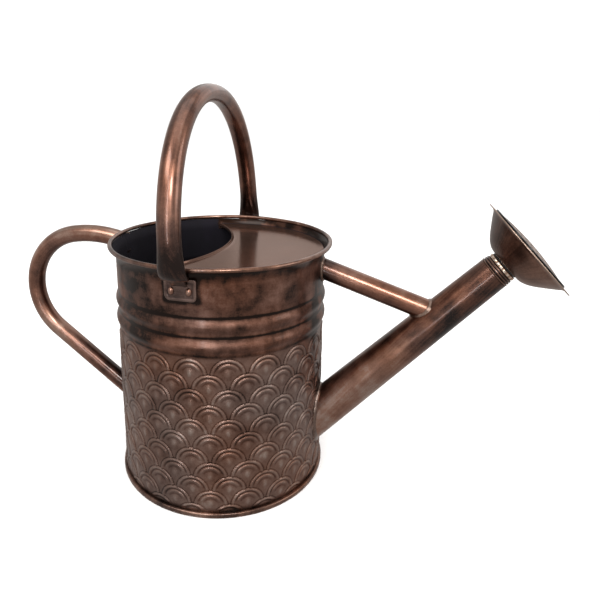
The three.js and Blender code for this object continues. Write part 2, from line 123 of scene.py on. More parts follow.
class Surface:
    """Collects patches of points, then makes one mesh piece of them.

    Each point carries a "flow" vector: metres along the piece, metres round it, and relief from
    0 in a hollow to 1 on a crest, which on some pieces also carries painted shade and painted light.
    The materials read it for brushing, wear and that painted shading."""

    def __init__(self):
        self.points, self.faces, self.flow, self.material, self.count = [], [], [], [], 0

    def patch(self, points, flow=None, wrap=False, keep=None, material=0):
        """Adds a grid of points as quads. wrap joins its last column to its first, keep says which
        quads stay, and material is their material slot."""
        rows, columns = points.shape[:2]
        number = np.arange(rows * columns).reshape(rows, columns) + self.count
        if wrap:
            number = np.concatenate([number, number[:, :1]], axis=1)
        quads = np.stack([number[:-1, :-1], number[:-1, 1:], number[1:, 1:], number[1:, :-1]], axis=-1)
        material = np.broadcast_to(material, quads.shape[:2])
        if keep is not None:
            quads, material = quads[keep], material[keep]
        if flow is None:
            flow = flow_grid(np.arange(rows)[:, None], np.arange(columns))
        faces = quads.reshape(-1, 4).tolist()
        self.add(points.reshape(-1, 3), faces, flow.reshape(-1, 3), material.ravel())

    def add(self, points, faces, flow, material=0):
        """Adds points with their flow, and faces that count on from the points already here."""
        self.points.append(points)
        self.faces.extend(faces)
        self.material.extend(np.broadcast_to(material, len(faces)).tolist())
        self.flow.append(flow)
        self.count += len(points)

    def piece(self, name, slot, materials, replaces, body="can", sharp=38):
        """Makes the mesh. Edges that turn by more than sharp degrees stay sharp."""
        mesh = bpy.data.meshes.new(name)
        mesh.from_pydata((np.concatenate(self.points) * MM).tolist(), [], self.faces)
        for material in materials:
            mesh.materials.append(material)
        mesh.polygons.foreach_set("material_index", self.material)
        flow = mesh.attributes.new("flow", "FLOAT_VECTOR", "POINT")
        flow.data.foreach_set("vector", np.concatenate(self.flow).ravel())
        work = bmesh.new()
        work.from_mesh(mesh)
        bmesh.ops.remove_doubles(work, verts=work.verts, dist=1e-6)
        bmesh.ops.recalc_face_normals(work, faces=work.faces)
        work.to_mesh(mesh)
        work.free()
        mesh.shade_smooth()
        mesh.set_sharp_from_angle(angle=math.radians(sharp))
        made = bpy.data.objects.new(name, mesh)
        scene.collection.objects.link(made)
        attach(made, body)
        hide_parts(*replaces)
        return made


def angles(count):
    return np.arange(count) * TURN / count


def flow_grid(along, around, relief=0.5):
    """Flow vectors, from distances in millimetres and relief."""
    along, around, relief = np.broadcast_arrays(along, around, relief)
    return np.stack([along * MM, around * MM, relief], axis=-1)


def path_length(points):
    steps = np.linalg.norm(np.diff(points, axis=0), axis=1)
    return np.concatenate([[0], np.cumsum(steps)])


def rounded(corners, radius, steps):
    """A closed outline with its corners rounded. radius is one number, or one for each corner."""
    corners = [np.array(c, float) for c in corners]
    radii = radius if isinstance(radius, (list, tuple)) else [radius] * len(corners)
    most = 0.45
    out = []
    for i, corner in enumerate(corners):
        before, after = corners[i - 1] - corner, corners[(i + 1) % len(corners)] - corner
        room = min(radii[i], np.linalg.norm(before) * most, np.linalg.norm(after) * most)
        start = corner + before / np.linalg.norm(before) * room
        end = corner + after / np.linalg.norm(after) * room
        for t in np.linspace(0, 1, steps + 1):
            out.append((1 - t) ** 2 * start + 2 * t * (1 - t) * corner + t * t * end)
    return np.array(out)


def spline(points, per_span=8):
    """A centripetal Catmull-Rom curve through the points."""
    p = np.array(points, float)
    p = np.vstack([2 * p[0] - p[1], p, 2 * p[-1] - p[-2]])
    out = []
    for i in range(1, len(p) - 2):
        p0, p1, p2, p3 = p[i - 1 : i + 3]
        t0 = 0.0
        t1 = t0 + np.linalg.norm(p1 - p0) ** 0.5
        t2 = t1 + np.linalg.norm(p2 - p1) ** 0.5
        t3 = t2 + np.linalg.norm(p3 - p2) ** 0.5
        last = i == len(p) - 3
        for t in np.linspace(t1, t2, per_span + 1)[: None if last else -1]:
            a1 = (t1 - t) / (t1 - t0) * p0 + (t - t0) / (t1 - t0) * p1
            a2 = (t2 - t) / (t2 - t1) * p1 + (t - t1) / (t2 - t1) * p2
            a3 = (t3 - t) / (t3 - t2) * p2 + (t - t2) / (t3 - t2) * p3
            b1 = (t2 - t) / (t2 - t0) * a1 + (t - t0) / (t2 - t0) * a2
            b2 = (t3 - t) / (t3 - t1) * a2 + (t - t1) / (t3 - t1) * a3
            out.append((t2 - t) / (t2 - t1) * b1 + (t - t1) / (t2 - t1) * b2)
    return np.array(out)


class Axis:
    """A right-handed frame: w is the axis, u and v lie across it."""

    def __init__(self, origin, w, v=(0, 1, 0)):
        self.origin, self.w, self.v = (np.array(a, float) for a in (origin, w, v))
        self.u = np.cross(self.v, self.w)

    def at(self, r, theta, t):
        r, theta, t = (np.asarray(a, float)[..., None] for a in np.broadcast_arrays(r, theta, t))
        return self.origin + r * (np.cos(theta) * self.u + np.sin(theta) * self.v) + t * self.w

    def split(self, p):
        d = p - self.origin
        t = d @ self.w
        return np.linalg.norm(d - t[..., None] * self.w, axis=-1), t


UPRIGHT = Axis((0, 0, 0), (0, 0, 1))


def lathe(surface, outline, axis=UPRIGHT, sides=256, relief=None, lit_side=0.0):
    """Turns a closed outline of (radius, height) about an axis.

    relief has one number for each point, and the side at theta 0 can be made lighter: painted light on
    that side."""
    outline = np.array(outline, float)
    relief = np.full(len(outline), 0.5) if relief is None else np.array(relief, float)
    outline = np.vstack([outline, outline[:1]])
    relief = np.append(relief, relief[0])
    theta = angles(sides)
    r, t = outline[:, :1], outline[:, 1:]
    along = path_length(outline)[:, None]
    wear_and_shade = relief[:, None] + lit_side * np.cos(theta)
    surface.patch(axis.at(r, theta, t), flow_grid(along, theta * max(outline[:, 0]), wear_and_shade), wrap=True)


# ---- materials ----
def linear(code):
    """A display colour such as 0x6b4236 as linear red, green, blue and alpha."""
    parts = [((code >> shift) & 255) / 255 for shift in (16, 8, 0)]
    return tuple(c / 12.92 if c <= 0.04045 else ((c + 0.055) / 1.055) ** 2.4 for c in parts) + (1,)


class Nodes:
    """A material's or the world's node tree, with short ways to build it."""

    def __init__(self, tree):
        self.tree = tree

    def add(self, kind, **settings):
        node = self.tree.nodes.new(kind)
        for name, value in settings.items():
            setattr(node, name, value)
        return node

    def set(self, node, **inputs):
        """Sets inputs by value or by link: Base_Color is the input of that name, _0 the first."""
        for name, value in inputs.items():
            socket = node.inputs[int(name[1:]) if name[0] == "_" else name.replace("_", " ")]
            if isinstance(value, bpy.types.NodeSocket):
                self.tree.links.new(value, socket)
            else:
                socket.default_value = value
        return node

    def math(self, operation, a, b):
        return self.set(self.add("ShaderNodeMath", operation=operation), _0=a, _1=b).outputs[0]

    def noise(self, vector, scale, detail=4.0, roughness=0.55):
        """Noise with a mean of 0. On object coordinates, scale is its cells in a metre."""
        node = self.add("ShaderNodeTexNoise")
        self.set(node, Vector=vector, Scale=scale, Detail=detail, Roughness=roughness)
        return self.math("SUBTRACT", node.outputs[0], 0.5)

    def ramp(self, value, stops):
        node = self.set(self.add("ShaderNodeValToRGB"), Fac=value)
        ramp = node.color_ramp
        while len(ramp.elements) < len(stops):
            ramp.elements.new(0.5)
        for element, (place, colour) in zip(ramp.elements, stops):
            element.position, element.color = place, colour
        return node.outputs[0]

    def total(self, *terms):
        """The sum of (socket, weight) pairs."""
        result = None
        for socket, weight in terms:
            part = self.math("MULTIPLY", socket, weight)
            result = part if result is None else self.math("ADD", result, part)
        return result


def new_material(name):
    material = bpy.data.materials.new(name)
    material.use_nodes = True
    nodes = Nodes(material.node_tree)
    shader = material.node_tree.nodes["Principled BSDF"]
    return material, nodes, shader


CLOUD_SCALE, PATCH_SCALE, SPECK_SCALE, DRIFT_SCALE = 24.0, 95.0, 900.0, 17.0
CLOUD_SHARE = 1.6
MEAN_REDNESS = 0.95
BUMP_STRENGTH, BUMP_DEPTH = 0.35, 0.00012


def metal(name, colours, roughness=(0.28, 0.5), blotch=0.5, streak=0.4, relief=0.0, grain=0.3,
          level=0.5, drift=0.8, metallic=1.0, coat=0.6, coat_roughness=0.16, specular=0.5,
          edge_tint=(1, 1, 1, 1), along_scale=14.0, around_scale=420.0):
    """A rubbed, patinated metal. colours run from the darkest hollow to the most rubbed crest.

    level is the mean place among them, and blotch, streak, relief and grain say how far the
    clouds, the brushing, the piece's relief and the specks move it; on some pieces that relief
    also carries painted shade and painted light. drift varies how strong the colour is."""
    material, n, shader = new_material(name)
    place = n.add("ShaderNodeTexCoord").outputs["Object"]
    flow = n.add("ShaderNodeAttribute", attribute_name="flow").outputs["Vector"]
    parts = n.set(n.add("ShaderNodeSeparateXYZ"), Vector=flow).outputs
    brushed_place = n.set(n.add("ShaderNodeCombineXYZ"), X=n.math("MULTIPLY", parts[0], along_scale),
                          Y=n.math("MULTIPLY", parts[1], around_scale)).outputs[0]
    cloud = n.noise(place, CLOUD_SCALE, 5.0, 0.6)
    patch = n.noise(place, PATCH_SCALE, 5.0, 0.65)
    speck = n.noise(place, SPECK_SCALE, 3.0, 0.6)
    brushed = n.noise(brushed_place, 1.0, 4.0, 0.6)
    raised = n.math("SUBTRACT", parts[2], 0.5)
    wear = n.total((cloud, blotch * CLOUD_SHARE), (patch, blotch), (speck, grain),
                   (brushed, streak), (raised, relief))
    wear = n.math("ADD", wear, level)
    stops = [(i / (len(colours) - 1), linear(c)) for i, c in enumerate(colours)]
    redness = n.math("ADD", n.total((n.noise(place, DRIFT_SCALE, 2.0), drift)), MEAN_REDNESS)
    colour = n.set(n.add("ShaderNodeHueSaturation"), Saturation=redness, Color=n.ramp(wear, stops))
    low, high = roughness
    spread = n.total((patch, high - low), (speck, (high - low) * 0.7), (brushed, (high - low) * 0.6))
    rough = n.math("ADD", spread, (low + high) / 2)
    height = n.total((speck, 0.5), (brushed, 0.6), (patch, 1.0))
    bumps = n.set(n.add("ShaderNodeBump"), Strength=BUMP_STRENGTH, Distance=BUMP_DEPTH, Height=height)
    n.set(shader, Base_Color=colour.outputs[0], Roughness=rough, Normal=bumps.outputs[0])
    n.set(shader, Metallic=metallic, Coat_Weight=coat, Coat_Roughness=coat_roughness)
    n.set(shader, Specular_IOR_Level=specular, Specular_Tint=edge_tint)
    return material


def rubber(name):
    """A dull black rubber with a fine grain."""
    material, n, shader = new_material(name)
    place = n.add("ShaderNodeTexCoord").outputs["Object"]
    fine, coarse = n.noise(place, 1500.0), n.noise(place, 260.0)
    shade = n.math("ADD", n.total((fine, 0.5), (coarse, 0.6)), 0.5)
    grain = n.set(n.add("ShaderNodeBump"), Strength=0.4, Distance=0.0001, Height=fine)
    black = n.ramp(shade, [(0, linear(0x141414)), (1, linear(0x2a2a2b))])
    n.set(shader, Base_Color=black, Normal=grain.outputs[0])
    n.set(shader, Roughness=n.math("ADD", n.total((coarse, 0.2)), 0.75))
    return material


DRUM = metal("drum_copper_finish", (0x22150f, 0x6e4a3b, 0x966f5f, 0xb8a69b), roughness=(0.32, 0.48),
             blotch=0.85, streak=0.7, relief=1.4, level=0.48, coat=0.3, along_scale=110.0,
             around_scale=24.0)
SCALES = metal("drum_scales_finish", (0x22160f, 0x674b40, 0x8c7267, 0xb7a89f), roughness=(0.34, 0.48),
               blotch=0.45, streak=0.55, relief=1.4, level=0.47, drift=1.3, coat=0.3,
               along_scale=40.0, around_scale=60.0)
# the drum's inside: a near-black painted shade in place of its copper, for the dark within the can
INSIDE_SHADE = metal("drum_inside_painted_shade", (0x08060c, 0x100d15, 0x19151f), roughness=(0.7, 0.9),
               metallic=0.0, coat=0.0, specular=0.2)
RIM = metal("rim_copper_finish", (0x2d1f1b, 0x5d4237, 0x8f6b5a, 0xc9a897), roughness=(0.24, 0.4),
            blotch=0.8, level=0.52)
COVER = metal("cover_copper_finish", (0x5d453a, 0x72564a, 0x88695c), roughness=(0.1, 0.2),
              blotch=0.35, streak=0.2, grain=0.15, drift=0.2, metallic=0.85, coat=0.0,
              edge_tint=(0.84, 0.76, 0.72, 1))
HANDLE = metal("handle_copper_finish", (0x2b1c18, 0x654539, 0x966955, 0xbb9d8c), roughness=(0.24, 0.4),
               blotch=0.6, streak=0.6, relief=1.0, level=0.45, drift=0.5, coat=0.55,
               coat_roughness=0.1)
SPOUT = metal("spout_copper_finish", (0x251c1a, 0x6e4838, 0x9a6e58, 0xb59d90), roughness=(0.24, 0.42),
              blotch=0.6, streak=0.55, relief=1.0)
ROSE = metal("rose_copper_finish", (0x0d0908, 0x523b32, 0x8a6959, 0xb09888), roughness=(0.3, 0.48),
             relief=1.5, drift=0.3, coat=0.4)
FITTING = metal("fitting_copper_finish", (0x241915, 0x55403a, 0x80685e, 0xa8948a), roughness=(0.3, 0.5),
                relief=1.3)
SOLDER = metal("solder_finish", (0x3b2d27, 0x6c564a, 0xa38b7e, 0xd2c0b2), roughness=(0.24, 0.4),
               level=0.42)
BRASS = metal("brass_finish", (0x5f483a, 0xa98a72, 0xd9bfab, 0xf4e6d8), roughness=(0.2, 0.34),
              relief=1.0, coat=0.0)
RUBBER = rubber("rubber_finish")


# ---- drum ----
def drum_radius(z):
    """Outer radius of the drum with its ribs and flared top, but without its scales."""
    z = np.asarray(z, float)
    ribs = sum(RIB_H * bump(z - centre, RIB_W / 2) for centre in RIB_CENTRES)
    flare = FLARE * np.clip((z - FLARE_Z) / (WALL_TOP - FLARE_Z), 0, FLARE_MOST) ** 2
    return WALL_R + ribs + flare


COVER_R = float(drum_radius(COVER_Z)) - SHEET - 0.2
mouth_out = MOUTH_R + SHEET
meet_x = (mouth_out**2 - COVER_R**2 - MOUTH_X**2) / (-2 * MOUTH_X)
MOUTH_SPAN = math.acos((meet_x - MOUTH_X) / mouth_out)
COVER_SPAN = math.acos(meet_x / COVER_R)
SPOUT_AXIS = Axis((WALL_R, 0, SPOUT_Z), (math.cos(SPOUT_TILT), 0, math.sin(SPOUT_TILT)))

# the lines on one scale: how wide each is, how high it stands, and how much lighter it is
EDGE_W, EDGE_H, EDGE_TONE = 1.5, 0.75, 0.1
INNER_W, INNER_H, INNER_TONE = 1.3, 0.55, 0.08
GROOVE_W, GROOVE_H, GROOVE_TONE = 1.1, -0.25, -0.26
HOLLOW_W, HOLLOW_IN, HOLLOW_TONE = 1.1, 2.1, -0.16
FAN_W, FAN_L, FAN_Y, FAN_H, FAN_TONE = 3.2, 5.0, 1.6, 0.6, 0.18
SHADE_TONE = -0.34
# where the inner ridge and the groove end, in degrees from upright, and over how many they fade
INNER_LEAN, INNER_FADE = 74, 24
GROOVE_LEAN, GROOVE_FADE = 84, 20
# the lapped seam's height, half width and edge
SEAM_H, SEAM_HALF, SEAM_EDGE = 0.45, 3.5, 0.8
# patina: half sizes round each joint; the width of the painted shadow round the plates; and the half
# sizes and place of a painted dark reflection streak below the brace
BRACE_PATINA, BRACE_DROP = 36, 6
SPOUT_PATINA, SPOUT_RISE = (34, 44), 22
PLATE_SHADOW_W = 5
REFLECTION_HALF, REFLECTION_AWAY, REFLECTION_Z = (10, 58), -20, 138
# shallow dents: depth, waves round the drum, mm of height for a radian, and phase
DENTS = ((0.12, 3, 31, 0), (0.1, 5, -17, 1))
# dark lines at the drum's foot and beside its ribs: height, half width and darkness
DARK_LINES = ((WALL_FOOT, 4.0, 0.3), (RIB_CENTRES[0] + RIB_W * 0.55, 1.6, 0.44),
              (RIB_CENTRES[1] + RIB_W * 0.6, 1.6, 0.44), (RIB_CENTRES[1] - RIB_W * 0.55, 2.0, 0.2))
WALL_SLOT, INSIDE_SHADE_SLOT, SCALES_SLOT = 0, 1, 2


def half_turn(theta):
    """The same angle, from minus half a turn to half a turn."""
    return np.mod(theta + math.pi, TURN) - math.pi


def oval(x, y, half_x, half_y):
    """A soft oval patch, 1 in its middle and 0 from its edge outwards."""
    return bump(np.hypot(x / half_x, y / half_y), 1)


def scale_relief(theta, z):
    """Height in mm of the embossed fish scales, and how much lighter or darker each point is.

    Each lower row lies over the row above it."""
    shape = np.broadcast(theta, z).shape
    height, tone = np.zeros(shape), np.zeros(shape)
    for row in range(SCALE_ROWS):
        start = SCALE_START + (row % 2) * 0.5 * TURN / SCALES_ROUND
        turns = (theta - start) * SCALES_ROUND / TURN
        x = (turns - np.round(turns)) * SCALE_PITCH
        y = z - (SCALE_TOP - row * SCALE_ROW_H - ARCH_R)
        above = y > 0
        d = np.where(above, np.hypot(x, y), np.abs(x))
        lean = np.degrees(np.arctan2(np.abs(x), np.maximum(y, 1e-6)))
        arch = smoothstep((INNER_LEAN - lean) / INNER_FADE) * above
        arch_groove = smoothstep((GROOVE_LEAN - lean) / GROOVE_FADE) * above
        edge = bump(d - RIDGE_R, EDGE_W)
        inner = bump(d - INNER_R, INNER_W) * arch
        groove = bump(d - (RIDGE_R + INNER_R) / 2, GROOVE_W) * arch_groove
        hollow = bump(d - INNER_R + HOLLOW_IN, HOLLOW_W) * arch
        fan = oval(x, y - FAN_Y, FAN_W, FAN_L)
        inside = d < ARCH_R
        raised = EDGE_H * edge + INNER_H * inner + GROOVE_H * groove + FAN_H * fan
        height = np.where(inside, raised, height)
        mine = (EDGE_TONE * edge + INNER_TONE * inner + GROOVE_TONE * groove + HOLLOW_TONE * hollow
                + FAN_TONE * fan)
        outside = tone + SHADE_TONE * bump(d - ARCH_R - 0.1, 1.0) * (y > -ARCH_R)
        tone = np.where(inside, mine, outside)
    faded = smoothstep((z - WALL_FOOT - 0.5) / 2.5)
    return height * faded, tone * faded


def seam_relief(theta, z):
    """The lapped side seam at the back of the drum, above the scales."""
    away = (np.mod(theta, TURN) - math.pi) * WALL_R
    rise, fall = smoothstep((away + SEAM_HALF) / SEAM_EDGE), smoothstep((SEAM_HALF - away) / SEAM_EDGE)
    return SEAM_H * rise * fall * (z > SCALE_TOP + 1)


def patina_and_shade(theta, z):
    """Dark patina round the brace's and the spout's joints, painted shadow beside the riveted plates,
    painted shade on the rear sides above the scales, and a painted dark reflection in a streak below
    the brace."""
    away = half_turn(theta) * WALL_R
    brace_joint = bump(np.hypot(away, z - BRACE_Z + BRACE_DROP), BRACE_PATINA)
    spout_joint = oval(away, z - SPOUT_Z - SPOUT_RISE, *SPOUT_PATINA)
    # painted shadow: a dark edge on the wall round each riveted plate
    from_plate = math.pi / 2 * WALL_R - np.abs(away) - PLATE_X
    past_side = np.maximum(np.abs(from_plate) - PLATE_W / 2, 0)
    past_end = np.maximum(np.abs(z - PLATE_Z) - PLATE_H / 2, 0)
    plate_shadow = smoothstep(1 - np.hypot(past_side, past_end) / PLATE_SHADOW_W)
    # painted shade on the drum's rear sides, above the scales
    rear_side = smoothstep((np.abs(away) - 130) / 40) * smoothstep((230 - np.abs(away)) / 30)
    rear_shade = rear_side * smoothstep((z - SCALE_TOP - 2) / 6)
    # painted dark reflection: a tall streak on the wall below the brace
    run = oval(away - REFLECTION_AWAY, z - REFLECTION_Z, *REFLECTION_HALF)
    return np.maximum.reduce([0.8 * brace_joint, 0.7 * spout_joint, plate_shadow, 0.45 * rear_shade, run])


def drum_rows(fine, coarse):
    """Heights of the wall's rows of points, closer together in the scales."""
    scales = np.arange(WALL_FOOT, SCALE_TOP + 1, fine)
    plain = np.arange(SCALES_END, WALL_TOP, coarse)
    return np.concatenate([scales, plain, (WALL_TOP, WALL_END)])


def drum_patch(surface, columns, rows, lining):
    """The drum's outer face, or its lining, with the hole for the spout. The lining is near-black
    painted shade, except above the half cover, where it keeps the copper.
    """
    theta, z = angles(columns), rows[:, None]
    inset = SHEET if lining else 0.0
    relief, tone = scale_relief(theta, z)
    relief = relief + seam_relief(theta, z)
    dents = sum(deep * np.sin(waves * theta + z / climb + phase) for deep, waves, climb, phase in DENTS)
    in_scales = smoothstep((SCALE_TOP + 3 - z) / 4)
    r = drum_radius(z) + relief + dents * smoothstep((FLARE_Z - z) / 20) - inset
    r = r - SCALE_SINK * in_scales
    points = UPRIGHT.at(r, theta, z)
    dark = sum(weight * bump(z - line, half) for line, half, weight in DARK_LINES)
    crest = 0.45 + 0.1 * in_scales + tone - 0.3 * smoothstep((z - WALL_TOP + 12) / 12)
    wear_and_shade = np.clip(crest - dark - 0.4 * patina_and_shade(theta, z), 0, 1)
    from_axis, t = SPOUT_AXIS.split((points[:-1] + points[1:]) / 2)
    keep = ~((from_axis < SPOUT_R[0] - SHEET) & (np.abs(t) < SPOUT_ROOT))
    if lining:
        over_cover = (rows[:-1, None] > COVER_Z - 1) & (np.abs(half_turn(theta)) < COVER_SPAN)
        material = np.where(over_cover, WALL_SLOT, INSIDE_SHADE_SLOT)
    else:
        material = np.where(rows[:-1, None] < SCALES_END, SCALES_SLOT, WALL_SLOT)
    surface.patch(points, flow_grid(z, theta * WALL_R, wear_and_shade), wrap=True, keep=keep, material=material)


drum = Surface()
drum_patch(drum, SCALES_ROUND * 48, drum_rows(0.56, 0.8), lining=False)
drum_patch(drum, SCALES_ROUND * 20, drum_rows(1.4, 1.6), lining=True)
drum.piece("drum_wall", "drum_copper", [DRUM, INSIDE_SHADE, SCALES], ["body_shell"], sharp=60)

roll = Surface()
phi = angles(28)[:, None]
theta = angles(320)
ROLL_GAP = 0.05
wave = 0.14 * np.sin(4 * theta + 1) + 0.1 * np.sin(9 * theta)
roll_r = RIM_R - RIM_ROLL_R - ROLL_GAP + (RIM_ROLL_R - ROLL_GAP) * np.cos(phi)
roll_z = RIM_Z - RIM_ROLL_R - 0.15 + (RIM_ROLL_R - ROLL_GAP) * np.sin(phi) + wave
ring = UPRIGHT.at(roll_r, theta, roll_z)
flow = flow_grid(theta * RIM_R, np.append(phi, TURN)[:, None] * RIM_ROLL_R)
roll.patch(np.concatenate([ring, ring[:1]]), flow, wrap=True)
roll.piece("rim_bead", "drum_copper", [RIM], ["rim_roll"])

foot = Surface()
foot_in = WALL_R - SHEET - 0.3
band = [(foot_in, 0), (FOOT_R, 0), (FOOT_R, FOOT_H), (foot_in, FOOT_H)]
lathe(foot, rounded(band, [0.3, 1.6, 1.6, 0.3], 6))
foot.piece("foot_seam", "fitting_copper", [RIM], ["foot_ring"])

base = Surface()
plate = [(0.05, 2.9), (52, 2.9), (54, 3.6), (58, 3.6), (60, 2.9), (80.6, 2.9),
         (80.6, 2.0), (60.4, 2.0), (58.4, 2.7), (53.6, 2.7), (51.6, 2.0), (0.05, 2.0)]
lathe(base, rounded(plate, 1.0, 3), sides=96)
base.piece("base_disc", "fitting_copper", [FITTING], ["base_plate"])

# ---- half cover ----
cover = Surface()
spread = np.linspace(-1, 1, 181)


def mouth_line(offset, z):
    a = spread * MOUTH_SPAN
    r = MOUTH_R + offset
    return np.stack([MOUTH_X + r * np.cos(a), r * np.sin(a), 0 * a + z], axis=-1)


def wall_line(offset, z):
    a = spread * COVER_SPAN
    r = COVER_R + offset
    return np.stack([r * np.cos(a), r * np.sin(a), 0 * a + z], axis=-1)


SKIRT_IN, SKIRT_DROP = 0.9, 4.0
lip = ((0.0, COVER_Z - SHEET, 0.4), (0.0, COVER_TOP - 0.4, 0.8), (0.15, COVER_TOP - 0.1, 1.0),
       (0.4, COVER_TOP, 1.0), (0.65, COVER_TOP - 0.1, 1.0), (SHEET, COVER_TOP - 0.4, 0.8),
       (SHEET, COVER_Z + 1.2, 0.3), (1.0, COVER_Z + 0.4, 0.3), (1.4, COVER_Z + 0.1, 0.4))
lines = [(mouth_line(offset, z), wear_and_shade) for offset, z, wear_and_shade in lip]
lip_foot, wall_foot = mouth_line(2.0, COVER_Z), wall_line(-1.6, COVER_Z)
for t in np.linspace(0, 1, 26):
    line = (1 - t) * lip_foot + t * wall_foot
    sag = 0.25 * math.sin(math.pi * t) * np.cos(spread * math.pi / 2)
    line[:, 2] -= sag
    lines.append((line, 0.5))
skirt = ((-1.0, COVER_Z + 0.1, 0.8), (-0.5, COVER_Z + 0.2, 1.0), (-0.1, COVER_Z, 0.9),
         (0.0, COVER_Z - 0.6, 0.4), (-SKIRT_IN, COVER_Z - SKIRT_DROP, 0.4),
         (-SKIRT_IN - SHEET, COVER_Z - SKIRT_DROP, 0.4), (-SKIRT_IN - SHEET, COVER_Z - SHEET, 0.4))
lines += [(wall_line(offset, z), wear_and_shade) for offset, z, wear_and_shade in skirt]
lines.append((mouth_line(0.0, COVER_Z - SHEET), 0.4))
grid = np.stack([line for line, _ in lines])
cover.patch(grid, flow_grid(grid[..., 0], grid[..., 1], np.array([[w] for _, w in lines])))
cover.piece("half_cover", "cover_copper", [COVER], ["top_cover"], sharp=50)


# ---- tubes ----
class Tube:
    """A round tube along a flat path. side is square to the path's plane, and theta 0 faces the
    way of the tangent's cross product with it."""

    def __init__(self, path, side, radius):
        self.path, self.side, self.radius = np.array(path, float), np.array(side, float), radius
        self.length = path_length(self.path)
        tangent = np.gradient(self.path, self.length, axis=0)
        self.tangent = tangent / np.linalg.norm(tangent, axis=1)[:, None]
        self.total = self.length[-1]

    def at(self, s, theta, grow=0.0):
        s, theta = np.broadcast_arrays(s, theta)
        centre = np.stack([np.interp(s, self.length, self.path[:, i]) for i in range(3)], axis=-1)
        tangent = np.stack([np.interp(s, self.length, self.tangent[:, i]) for i in range(3)], axis=-1)
        out = np.cross(tangent, self.side)
        wide, deep = self.radius(s)
        return (centre + (deep + grow)[..., None] * np.cos(theta)[..., None] * out
                + (wide + grow)[..., None] * np.sin(theta)[..., None] * self.side)

    def edge(self, theta, inside, outside, depth):
        """Where each line along the tube leaves another body. depth is under 0 inside that body."""
        low, high = np.full_like(theta, inside), np.full_like(theta, outside)
        for _ in range(40):
            middle = (low + high) / 2
            out = depth(self.at(middle, theta)) > 0
            low, high = np.where(out, low, middle), np.where(out, middle, high)
        return (low + high) / 2

    def skin(self, surface, start, end, theta, rows, relief=None, grow=0.0):
        share = np.linspace(0, 1, rows)[:, None]
        s = start + (end - start) * share
        crest = 0.5 if relief is None else relief(s, theta)
        flow = flow_grid(s, theta * self.radius(s)[0], crest)
        surface.patch(self.at(s, theta, grow), flow, wrap=True)


def constant(radius):
    return lambda s: (0 * s + radius, 0 * s + radius)


def drum_depth(p):
    return np.hypot(p[..., 0], p[..., 1]) - drum_radius(p[..., 2])


def spout_radius(t):
    return SPOUT_R[0] + (SPOUT_R[1] - SPOUT_R[0]) * t / SPOUT_L


def spout_depth(p):
    from_axis, t = SPOUT_AXIS.split(p)
    return from_axis - spout_radius(t)


def normalised(a):
    return a / np.linalg.norm(a, axis=-1)[..., None]


def solder(name, node, tube, end, theta, wall_normal, seed, width=1.5):
    """A fillet of solder along the line where a tube meets a wall. seed moves its lumps."""
    surface = Surface()
    edge = tube.at(end, theta)
    out, off_wall = normalised(edge - tube.at(end, theta, -1.0)), wall_normal(edge)
    shared = (out * off_wall).sum(-1)[:, None]
    across = normalised(out - shared * off_wall)
    upward = normalised(off_wall - shared * out)
    size = width * (1 + 0.14 * np.sin(3 * theta + seed) + 0.09 * np.sin(7 * theta + 2 * seed)
                    + 0.05 * np.sin(17 * theta + seed))
    rows, crest = [], []
    hollow = 2 / 1.35
    for a in np.radians(np.linspace(0, 90, 11)):
        c, s = math.cos(a) ** hollow, math.sin(a) ** hollow
        sink = 0.25 * (1 - math.sin(2 * a))
        fillet = size[:, None] * (c * across + s * upward)
        rows.append(edge + fillet - sink * (off_wall * c + out * s))
        crest.append(0.35 + 0.5 * math.sin(2 * a))
    rows.append(edge - 0.5 * (off_wall + out))
    crest.append(0.3)
    rows.append(rows[0])
    crest.append(crest[0])
    crest = np.array(crest)[:, None]
    surface.patch(np.stack(rows), flow_grid(np.arange(len(edge)) * 0.5, crest, crest), wrap=True)
    surface.piece(name, "solder", [SOLDER], [node])


def drum_normal(p):
    return normalised(p * np.array([1.0, 1.0, 0.0]))


def spout_normal(p):
    along = ((p - SPOUT_AXIS.origin) @ SPOUT_AXIS.w)[:, None] * SPOUT_AXIS.w
    return normalised(p - (SPOUT_AXIS.origin + along))


# ---- carrying hoop ----
def hoop_path():
    rise = HOOP_TOP_Z - HOOP_SPRING_Z
    a = np.linspace(0, math.pi / 2, 25)[1:]
    y = HOOP_HALF * np.maximum(np.cos(a), 0) ** (2 / HOOP_POWER)
    z = HOOP_SPRING_Z + rise * np.sin(a) ** (2 / HOOP_POWER)
    y[-1] = 0
    half = list(HOOP_LEG) + [(HOOP_HALF, HOOP_SPRING_Z)] + list(zip(y, z))
    half = [np.array([HOOP_X + HOOP_LEAN * (z - HOOP_END_Z), -y, z]) for y, z in half]
    return spline(half + [p * np.array([1, -1, 1]) for p in half[-2::-1]], 6)


hoop_points = hoop_path()
hoop_lengths = path_length(hoop_points)


def hoop_pressing(s):
    z = np.interp(s, hoop_lengths, hoop_points[:, 2])
    return smoothstep((PRESS_Z - z) / (PRESS_Z - HOOP_END_Z))


def hoop_radius(s):
    amount = hoop_pressing(s)
    return HOOP_WIDE * (1 + PRESS_WIDE * amount), HOOP_DEEP * (1 - PRESS_THIN * amount)


# the hoop darkens towards its ends, from this height down over this fade
DARK_ENDS_Z, DARK_ENDS_FADE = 223.0, 27.0
HOOP_BORE, HOOP_SHEET = 11.0, 1.0
hoop = Tube(hoop_points, (-1, 0, 0), hoop_radius)
hoop_skin = Surface()
around = angles(64)
hoop_low = hoop.edge(around, 0.0, 20.0, lambda p: p[..., 2] - HOOP_CUT_Z)
hoop_high = hoop.edge(around, hoop.total, hoop.total - 20.0, lambda p: p[..., 2] - HOOP_CUT_Z)


